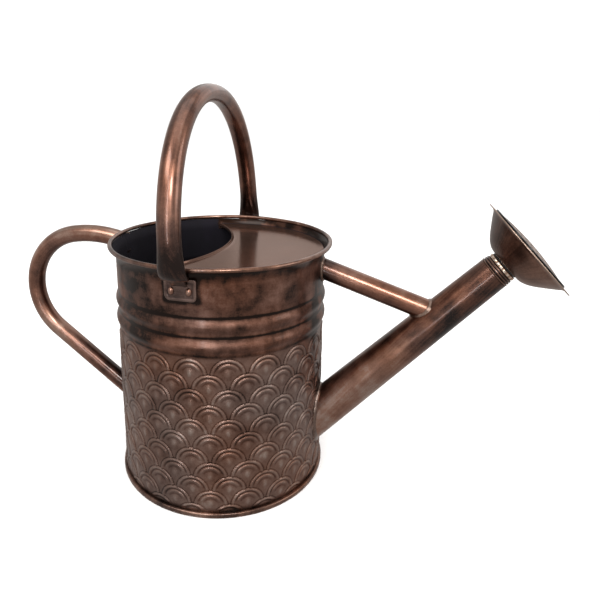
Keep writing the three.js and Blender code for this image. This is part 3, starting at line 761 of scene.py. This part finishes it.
def hoop_relief(s, theta):
    """Darker towards the ends, with a rubbed, lighter lip at each end."""
    z = np.interp(s, hoop_lengths, hoop_points[:, 2])
    wear_and_shade = 0.54 - 0.5 * smoothstep((DARK_ENDS_Z - z) / DARK_ENDS_FADE)
    lip = 0.5 * (bump(s - hoop_low, 1.6) + bump(s - hoop_high, 1.6))
    return np.clip(wear_and_shade + lip, 0, 1)


hoop.skin(hoop_skin, hoop_low, hoop_high, around, 421, hoop_relief)
for end, inner in ((hoop_low, HOOP_BORE), (hoop_high, -HOOP_BORE)):
    wall = np.stack([hoop.at(end, around), hoop.at(end, around, -HOOP_SHEET)])
    hoop_skin.patch(wall, flow_grid(np.array([[0.0], [1.0]]), around * HOOP_WIDE, 0.9), wrap=True)
    hoop.skin(hoop_skin, end, end + inner, around, 12, lambda s, theta: 0 * s * theta, -HOOP_SHEET)
hoop_skin.piece("carry_hoop", "handle_copper", [HANDLE], ["carry_handle"])


# ---- riveted plates ----
PLATE_T, PLATE_GAP = 1.5, 0.3
PLATE_CORNERS = (4.2, 3.2, 1.4, 1.4)
# from the plate's back edge to the foot of its raised border: inset, lift and wear
PLATE_BORDER = ((0.0, -0.2, 0.0), (0.0, PLATE_T * 0.6, 0.3), (0.15, PLATE_T * 0.88, 0.6),
                (0.45, PLATE_T, 0.55), (1.5, PLATE_T, 0.5), (2.1, PLATE_T * 0.9, 0.4),
                (2.7, PLATE_T * 0.7, 0.25), (3.2, PLATE_T * 0.66, 0.35))
TONGUE_SIDE = ((82.9, 176.8), (83.9, 176.4), (88.3, 181.2), (91.7, 186.6), (90.7, 187.2),
               (87.4, 182.2), (82.9, 177.8))
TONGUE_HALF = 5.5
# a rivet's head from its crown to its edge, and its inner end: radius and lift
RIVET_HEAD = ((0.02, 1.9), (0.5, 1.88), (1.1, 1.72), (1.7, 1.4), (2.2, 0.95), (2.5, 0.45),
              (2.6, 0.0), (2.6, -0.5))
RIVET_WIDE, RIVET_TALL = 0.84, 1.14
RIVET_INNER = -SHEET - 0.6
RIVET_END = ((1.5, RIVET_INNER), (2.2, RIVET_INNER), (2.2, RIVET_INNER - 1.0),
             (0.02, RIVET_INNER - 1.0))


def rounded_rectangle(width, height, radii, inset):
    """Corners run from the lower left round the outline; each keeps its own radius."""
    w, h = width / 2 - inset, height / 2 - inset
    out = []
    for corner, (sx, sy) in enumerate(((-1, -1), (1, -1), (1, 1), (-1, 1))):
        r = max(radii[corner] - inset, 0.15)
        for a in np.linspace(0, math.pi / 2, 9):
            turn = math.pi + corner * math.pi / 2 + a
            out.append((sx * (w - r) + r * math.cos(turn), sy * (h - r) + r * math.sin(turn)))
    return np.array(out)


def on_wall(side, x, z, height):
    """Points at a height off the drum's wall, x mm round it from the plate's middle."""
    r = drum_radius(z) + PLATE_GAP + height
    a = side * (math.pi / 2 - (PLATE_X + x) / WALL_R)
    return np.stack([r * np.cos(a), r * np.sin(a), z + 0 * r], axis=-1)


def worn_rings(surface, rings, crest):
    """Joins closed rings of points, with one relief for each ring."""
    grid = np.stack(rings)
    surface.patch(grid, flow_grid(grid[..., 0], grid[..., 2], np.array(crest)[:, None]), wrap=True)


def plate_skin(surface, side):
    rings = []
    for inset, lift, _ in PLATE_BORDER:
        outline = rounded_rectangle(PLATE_W, PLATE_H, PLATE_CORNERS, inset)
        rings.append(on_wall(side, outline[:, 0], outline[:, 1] + PLATE_Z, lift))
    for share in (0.8, 0.55, 0.3, 0.02):
        shrunk = outline * share
        rings.append(on_wall(side, shrunk[:, 0], shrunk[:, 1] + PLATE_Z, PLATE_T * 0.66))
    worn_rings(surface, rings, [wear_and_shade for _, _, wear_and_shade in PLATE_BORDER] + [0.4] * 4)


def tongue_skin(surface, side):
    """The tongue that runs up from the plate into the hoop's open end."""
    bar = rounded(TONGUE_SIDE, 0.4, 2)
    bar = np.vstack([bar, bar[:1]])
    middle = bar.mean(axis=0)
    rows = []
    for x, share in ((-1, 0.0), (-1, 1.0), (1, 1.0), (1, 0.0)):
        y, z = (middle + (bar - middle) * share).T
        rows.append(np.stack([HOOP_X + x * TONGUE_HALF + 0 * y, side * y, z], axis=-1))
    surface.patch(np.stack(rows))


def rivet_skin(surface, side, along):
    theta = angles(40)
    x, z = along * RIVET_SPACING / 2, RIVET_Z
    rings, crest = [], []
    for r, lift in RIVET_HEAD:
        across, up = RIVET_WIDE * r * np.cos(theta), RIVET_TALL * r * np.sin(theta)
        rings.append(on_wall(side, x + across, z + up, PLATE_T * 0.6 + lift))
        crest.append(min(0.9, 0.25 + lift / 3))
    for r, lift in RIVET_END:
        rings.append(on_wall(side, x + r * np.cos(theta), z + r * np.sin(theta), lift))
        crest.append(0.3)
    worn_rings(surface, rings, crest)


for side, hand in ((-1, "right"), (1, "left")):
    plate = Surface()
    plate_skin(plate, side)
    tongue_skin(plate, side)
    plate.piece(f"{hand}_plate", "fitting_copper", [FITTING], [f"{hand}_handle_plate"])
    for place, along in (("front", 1), ("rear", -1)):
        rivet = Surface()
        rivet_skin(rivet, side, along)
        rivet.piece(f"{hand}_{place}_rivet_head", "fitting_copper", [HANDLE], [f"{hand}_{place}_rivet"])


# ---- rear handle ----
def polar(centre, r, degrees):
    a = np.radians(degrees)
    return centre + r * np.stack([np.cos(a), 0 * a, np.sin(a)], axis=-1)


def grip_path():
    top_centre = polar(GRIP_BEND, GRIP_BEND_R - GRIP_TOP_BEND_R, GRIP_JOIN)
    last = 270 - GRIP_FALL
    top = polar(top_centre, GRIP_TOP_BEND_R, np.linspace(GRIP_START, GRIP_JOIN, 30)[:-1])
    bend = polar(GRIP_BEND, GRIP_BEND_R, np.linspace(GRIP_JOIN, last, 90))
    run = np.array([math.cos(math.radians(GRIP_FALL)), 0, -math.sin(math.radians(GRIP_FALL))])
    straight = bend[-1] + np.linspace(0, GRIP_RUN, 40)[1:, None] * run
    return np.vstack([top, bend, straight])


grip = Tube(grip_path(), (0, 1, 0), constant(GRIP_R))
grip_skin = Surface()
around = angles(64)
grip_top = grip.edge(around, 0.0, 70.0, drum_depth)
grip_low = grip.edge(around, grip.total, grip.total - 70.0, drum_depth)


def grip_relief(s, theta):
    """Painted shade on the side that faces the drum, deepened by dark patina at the lower end."""
    inner_side = (1 + np.cos(theta)) / 2
    low_end = smoothstep((s - grip.total + 85) / 50)
    return np.clip(0.88 - inner_side * (0.38 + 0.4 * low_end) + 0.06 * np.sin(s / 23), 0, 1)


grip.skin(grip_skin, grip_top - SKIN_OVERLAP, grip_low + SKIN_OVERLAP, around, 301, grip_relief)
grip_skin.piece("rear_grip", "handle_copper", [HANDLE], ["rear_handle"])
for level, end in (("upper", grip_top), ("lower", grip_low)):
    solder(f"rear_grip_{level}_bead", f"rear_handle_{level}_solder", grip, end, around, drum_normal, 20)

# ---- spout ----
spout_steps = np.linspace(-SPOUT_ROOT, SPOUT_L + SPOUT_SPARE, 60)[:, None]
TIP_GAP = 0.2


def spout_tube_radius(s):
    r = spout_radius(s - SPOUT_ROOT)
    return r, r


TIP = SPOUT_AXIS.origin + SPOUT_L * SPOUT_AXIS.w
HEAD = Axis(TIP, (math.cos(ROSE_TILT), 0, math.sin(ROSE_TILT)))
spout = Tube(SPOUT_AXIS.origin + spout_steps * SPOUT_AXIS.w, (0, 1, 0), spout_tube_radius)
spout_skin = Surface()
around = angles(120)
spout_foot = spout.edge(around, 0.0, 90.0, drum_depth)
spout_tip = spout.edge(around, spout.total - 30, spout.total, lambda p: (p - TIP) @ HEAD.w)


def spout_relief(s, theta):
    """Dark along the upper side below the brace, and towards the tip, most of all underneath: patina
    towards the tip, with painted shade on the underside.
    """
    share = s / spout.total
    upper_side = bump(np.mod(theta + math.pi, TURN) - math.pi, 1.2) * smoothstep((0.7 - share) / 0.2)
    near_tip = smoothstep((share - 0.4) / 0.4) * (0.42 + 0.34 * (1 - np.cos(theta)) / 2)
    return np.clip(0.74 - 0.5 * upper_side - near_tip + 0.05 * np.sin(s / 31), 0, 1)


start, end = spout_foot - SKIN_OVERLAP, spout_tip - TIP_GAP
spout.skin(spout_skin, start, end, around, 181, spout_relief)
spout.skin(spout_skin, start, end, around, 61, spout_relief, -SHEET)
spout_skin.piece("spout_cone", "spout_copper", [SPOUT], ["spout"])
solder("spout_foot_bead", "spout_base_solder", spout, spout_foot, around, drum_normal, 2, width=1.9)

# ---- brace ----
BRACE_AXIS = Axis((WALL_R, 0, BRACE_Z), (math.cos(BRACE_FALL), 0, -math.sin(BRACE_FALL)))
brace_steps = np.linspace(-BRACE_ROOT, BRACE_L, 50)[:, None]
brace = Tube(BRACE_AXIS.origin + brace_steps * BRACE_AXIS.w, (0, 1, 0), constant(BRACE_R))
brace_skin = Surface()
around = angles(64)
brace_foot = brace.edge(around, 0.0, 30.0, drum_depth)
brace_end = brace.edge(around, brace.total, 50.0, spout_depth)


def brace_relief(s, theta):
    """Dark next to the drum, and along the underside, where the darkening is painted shade."""
    drum_end = smoothstep((34 - s) / 20)
    underside = (1 - np.cos(theta)) / 2
    return np.clip(0.66 - 0.4 * drum_end - 0.25 * underside, 0, 1)


start, end = brace_foot - SKIN_OVERLAP, brace_end + SKIN_OVERLAP
brace.skin(brace_skin, start, end, around, 121, brace_relief)
brace_skin.piece("brace_tube", "handle_copper", [HANDLE], ["spout_brace"])
solder("brace_drum_bead", "brace_drum_solder", brace, brace_foot, around, drum_normal, 4)
solder("brace_spout_bead", "brace_spout_solder", brace, brace_end, around, spout_normal, 5)

# ---- collar and nipple ----
BORE_R, THREAD_R, THREAD_PITCH, THREAD_DEEP = 7.8, 9.3, 2.0, 0.4
collar = Surface()
outline = [(8.1, 0.0), (11.5, 0.0), (12.2, 0.25), (12.35, 0.9), (11.9, 1.35), (11.2, 1.5),
           (11.2, 1.75), (11.9, 1.9), (12.1, 2.5), (11.9, 3.1), (11.1, 3.25), (11.1, 3.5),
           (11.7, 3.65), (11.8, 4.3), (11.5, 5.0), (11.0, 5.2), (8.1, 5.2)]
wear_and_shade = [0.2, 0.3, 0.5, 0.6, 0.3, 0.0, 0.0, 0.3, 0.55, 0.3, 0.0, 0.0, 0.3, 0.5, 0.3, 0.2, 0.2]
lathe(collar, outline, HEAD, 128, relief=wear_and_shade)
collar.piece("tip_collar", "rose_copper", [ROSE], ["spout_collar"], sharp=30)


def thread(t, theta, middle, fade_from, fade_to):
    """A right-hand helical thread's radius."""
    phase = TURN * t / THREAD_PITCH - theta
    fade = smoothstep((t - fade_from) / 1.0) * smoothstep((fade_to - t) / 1.0)
    return middle + THREAD_DEEP / 2 * np.cos(phase) * fade


nipple = Surface()
theta = angles(160)
KNURLS, KNURL_DEEP = 20, 0.3
flange_t, flange_end, thread_end = 5.5, 8.2, 16.8
FLANGE_R = 11.4
# the flange's outline: place along the axis, radius, and share of the knurling
flange = ((flange_t, 10.2, 0.0), (flange_t, 10.9, 0.3), (flange_t + 0.3, 11.25, 0.8),
          (flange_t + 0.9, FLANGE_R, 1.0), (flange_end - 0.9, FLANGE_R, 1.0),
          (flange_end - 0.3, 11.2, 0.8), (flange_end, 10.8, 0.3), (flange_end, 10.2, 0.0),
          (flange_end, 9.2, 0.0))
rows, crest = [], []
for t, r, knurl in flange:
    rows.append(HEAD.at(r - KNURL_DEEP * knurl * (1 - np.cos(KNURLS * theta)) / 2, theta, t))
    crest.append(0.35 + 0.6 * knurl * (1 + np.cos(KNURLS * theta)) / 2)
for t in np.arange(flange_end + 0.1, thread_end, 0.125):
    rows.append(HEAD.at(thread(t, theta, THREAD_R - THREAD_DEEP / 2, flange_end, thread_end), theta, t))
    crest.append(0.5 + 0.4 * np.cos(TURN * t / THREAD_PITCH - theta))
for r, t in ((8.6, thread_end), (BORE_R, thread_end - 0.3), (BORE_R, flange_t + 0.3), (8.2, flange_t)):
    rows.append(HEAD.at(r, theta, t))
    crest.append(0.4 + 0 * theta)
rows.append(rows[0])
crest.append(crest[0])
flow = flow_grid(np.arange(len(rows))[:, None] * 0.2, theta * 10, np.clip(np.stack(crest), 0, 1))
nipple.patch(np.stack(rows), flow, wrap=True)
nipple.piece("threaded_nipple", "brass", [BRASS], ["spout_nipple"], sharp=45)

# ---- rose ----
washer = Surface()
lathe(washer, rounded([(9.7, 8.5), (10.7, 8.5), (10.7, 9.4), (9.7, 9.4)], 0.3, 3), HEAD, 96)
washer.piece("seal_washer", "rubber", [RUBBER], ["rose_washer"], body="rose_seal")

neck = Surface()
neck_low, neck_high = 9.7, 17.2
neck_skin = ((10.0, neck_low), (10.8, neck_low), (11.0, neck_low + 0.3), (11.0, neck_high - 0.3),
             (10.7, neck_high), (10.0, neck_high))
rows = [HEAD.at(r, theta, t) for r, t in neck_skin]
for t in np.arange(neck_high - 0.1, neck_low + 0.1, -0.125):
    rows.append(HEAD.at(thread(t, theta, 9.75, neck_low, neck_high), theta, t))
rows.append(rows[0])
neck.patch(np.stack(rows), wrap=True)
neck.piece("threaded_neck", "brass", [BRASS], ["rose_neck"], body="rose", sharp=45)

bowl = Surface()
ROSE_R, RIM_T, RIM_TOP_R = 40.2, 28.0, 39.9
outer = spline([(11.4, 9.8), (13.2, 9.5), (15.5, 9.9), (19.5, 12.0), (23.2, 15.0), (27.0, 18.8),
                (30.4, 22.3), (33.2, 25.3), (35.0, 27.3), (36.2, 27.95)], 6)
rim = [(39.5, RIM_T), (40.0, RIM_T), (ROSE_R, RIM_T + 0.25), (ROSE_R, RIM_T + 0.6),
       (RIM_TOP_R, RIM_T + 0.85), (36.0, RIM_T + 0.8), (34.9, RIM_T + 0.6)]
inner = [(r - 0.7, t + 0.75) for r, t in outer[:-8][::-1]]
outline = [*outer, *rim, *inner]
# the rim's inner edge is set dark: painted shade, the outer part of the dark band round the face
wear_and_shade = [0.5] * len(outer) + [0.9, 1.0, 1.0, 1.0, 0.9, 0.2, 0.1] + [0.3] * len(inner)
# the bowl's lower side, at theta 0, is made lighter: painted light
lathe(bowl, outline, HEAD, 224, relief=wear_and_shade, lit_side=0.14)
bowl.piece("rose_cup", "rose_copper", [ROSE], ["rose_bowl"], body="rose", sharp=32)

FACE_R, FACE_T, FACE_STEP = 34.1, 28.3, 1.9
DOME_R, DOME_H = 28.0, 2.0
HOLE_R, HOLE_RINGS, HOLE_SIDES = 0.8, 5, 14


def face_height(r):
    dome = DOME_H * np.clip(1 - (r / DOME_R) ** 2, 0, 1)
    rounded_edge = 0.35 * smoothstep((r - FACE_R + 0.9) / 0.9)
    return FACE_STEP + dome - rounded_edge


def hole_centres():
    centres = [(0.0, 0.0)]
    for ring in range(1, HOLE_RINGS + 1):
        r = DOME_R * 0.88 * ring / HOLE_RINGS
        centres += [(r * math.cos(a), r * math.sin(a)) for a in angles(6 * ring) + 0.3 * ring]
    return np.array(centres)


def dome_face():
    """Points, faces and flow of the rose's domed sheet, with its ring of holes cut through."""
    centres = hole_centres()
    points, edges = [], []

    def loop(cx, cy, r, count):
        first = len(points)
        points.extend((cx + r * math.cos(a), cy + r * math.sin(a)) for a in angles(count))
        edges.extend((first + i, first + (i + 1) % count) for i in range(count))

    for r, count in ((FACE_R, 144), (FACE_R - 0.5, 144), (FACE_R - 1.0, 144), (DOME_R, 128)):
        loop(0, 0, r, count)
    for cx, cy in centres:
        loop(cx, cy, HOLE_R, HOLE_SIDES)
    gap = 1.3
    for ring in range(1, int((FACE_R - 1.2) / gap)):
        r = ring * gap
        for a in angles(int(TURN * r / gap)):
            p = (r * math.cos(a), r * math.sin(a))
            if np.hypot(*(centres - p).T).min() > HOLE_R + 0.45 and abs(r - DOME_R) > 0.4:
                points.append(p)
    flat, _, cells = geometry.delaunay_2d_cdt([Vector(p) for p in points], edges, [], 0, 1e-5)[:3]
    flat = np.array([tuple(p) for p in flat])
    faces = []
    for cell in cells:
        middle = flat[list(cell)].mean(axis=0)
        if np.hypot(*(centres - middle).T).min() > HOLE_R * 0.97:
            faces.append(list(cell))
    r, theta = np.hypot(*flat.T), np.arctan2(flat[:, 1], flat[:, 0])
    near = np.min(np.hypot(flat[:, :1] - centres[:, 0], flat[:, 1:] - centres[:, 1]), axis=1)
    # painted shade: the ring between the dome and the flange is darkened to a near-black band
    flange_shade = 0.8 * smoothstep((r - DOME_R + 1) / 1.5)
    wear_and_shade = np.clip(0.7 - 0.45 * bump(near - HOLE_R, 0.9) - flange_shade, 0, 1)
    top = FACE_T + face_height(r)
    under = np.where(r > FACE_R - 0.6, FACE_T, top - 0.7)
    both = np.vstack([HEAD.at(r, theta, top), HEAD.at(r, theta, under)])
    flow = flow_grid(np.tile(flat[:, 0], 2), np.tile(flat[:, 1], 2), np.tile(wear_and_shade, 2))
    count = len(flat)
    bottom = [[i + count for i in face[::-1]] for face in faces]
    used = dict.fromkeys(pair for face in faces for pair in zip(face, face[1:] + face[:1]))
    sides = [[a, b, b + count, a + count] for a, b in used if (b, a) not in used]
    return both, faces + bottom + sides, flow


face = Surface()
face.add(*dome_face())
face.piece("sprinkler_face", "rose_copper", [ROSE], ["rose_face"], body="rose", sharp=50)

# ---- floor, lights and camera ----
floor_material, n, shader = new_material("floor_finish")
soft = n.noise(n.add("ShaderNodeTexCoord").outputs["Object"], 1.5)
white = n.ramp(n.math("ADD", soft, 0.5), [(0, linear(0xf7f6f5)), (1, linear(0xfaf9f8))])
n.set(shader, Base_Color=white, Roughness=0.7)
floor_mesh = bpy.data.meshes.new("floor")
FLOOR_HALF = 40.0
corners = [(x * FLOOR_HALF, y * FLOOR_HALF, 0) for x, y in ((-1, -1), (1, -1), (1, 1), (-1, 1))]
floor_mesh.from_pydata(corners, [], [(0, 1, 2, 3)])
floor_mesh.materials.append(floor_material)
floor = bpy.data.objects.new("floor", floor_mesh)
scene.collection.objects.link(floor)
floor.visible_glossy = False


def area_light(name, place, target, size, watts, colour=(1, 1, 1)):
    """A rectangular light that faces its target."""
    data = bpy.data.lights.new(name, "AREA")
    data.shape = "RECTANGLE"
    data.size, data.size_y = size
    data.energy, data.color = watts, colour
    lamp = bpy.data.objects.new(name, data)
    lamp.location = place
    lamp.rotation_mode = "QUATERNION"
    lamp.rotation_quaternion = (Vector(target) - Vector(place)).to_track_quat("-Z", "Y")
    scene.collection.objects.link(lamp)


CENTRE = (0.02, 0.0, 0.13)
area_light("key_softbox", (-0.55, -1.05, 1.4), CENTRE, (0.8, 0.6), 9, (1.0, 0.96, 0.92))
area_light("strip_softbox", (-0.03, -1.38, 0.55), CENTRE, (0.07, 1.3), 3.8, (0.95, 0.97, 1.0))
area_light("back_softbox", (0.3, 1.5, 1.1), CENTRE, (1.8, 1.0), 3, (0.97, 0.98, 1.0))
area_light("side_softbox", (1.35, -0.1, 0.8), CENTRE, (0.7, 0.9), 5, (1.0, 0.97, 0.94))
area_light("brace_softbox", (0.5, -1.1, 0.93), (0.125, 0.0, 0.15), (0.34, 0.3), 7, (1.0, 0.99, 0.97))
area_light("top_softbox", (0.0, 0.1, 1.6), CENTRE, (1.2, 1.2), 3)

world = bpy.data.worlds.new("studio")
scene.world = world
world.use_nodes = True
n = Nodes(world.node_tree)
direction = n.add("ShaderNodeTexCoord").outputs["Generated"]
height = n.set(n.add("ShaderNodeSeparateXYZ"), Vector=direction).outputs[2]
# the room that the metal reflects, from straight below to straight above
room_colours = ((0.0, 0xb2aba7), (0.42, 0xc0bab6), (0.53, 0xe4e0dc), (0.75, 0xa8a3a0), (1.0, 0xc8c4c0))
room_stops = [(place, linear(colour)) for place, colour in room_colours]
room = n.ramp(n.math("ADD", n.math("MULTIPLY", height, 0.5), 0.5), room_stops)
room_light = n.set(n.add("ShaderNodeBackground"), Color=room, Strength=0.9)
seen_sky = n.set(world.node_tree.nodes["Background"], Color=(1, 1, 1, 1), Strength=1.2)
chosen = n.set(n.add("ShaderNodeMixShader"), _0=n.add("ShaderNodeLightPath").outputs["Is Glossy Ray"],
               _1=seen_sky.outputs[0], _2=room_light.outputs[0])
n.set(world.node_tree.nodes["World Output"], Surface=chosen.outputs[0])
scene.view_settings.view_transform = "Standard"

camera_data = bpy.data.cameras.new("camera")
camera_data.sensor_width = 36
camera_data.lens = 33.215
camera_data.shift_x, camera_data.shift_y = 0.064, -0.120
camera_data.clip_start, camera_data.clip_end = 0.02, 100
camera = bpy.data.objects.new("camera", camera_data)
right, up = Vector((0.97, 0.24305, 0.00453)), Vector((-0.05871, 0.21615, 0.97459))
forward = Vector((-0.23589, 0.94563, -0.22394))
pose = Matrix((right, up, -forward)).transposed().to_4x4()
pose.translation = Vector((134.73, -407.75, 296.18)) * MM
camera.matrix_world = pose
scene.collection.objects.link(camera)
scene.camera = camera
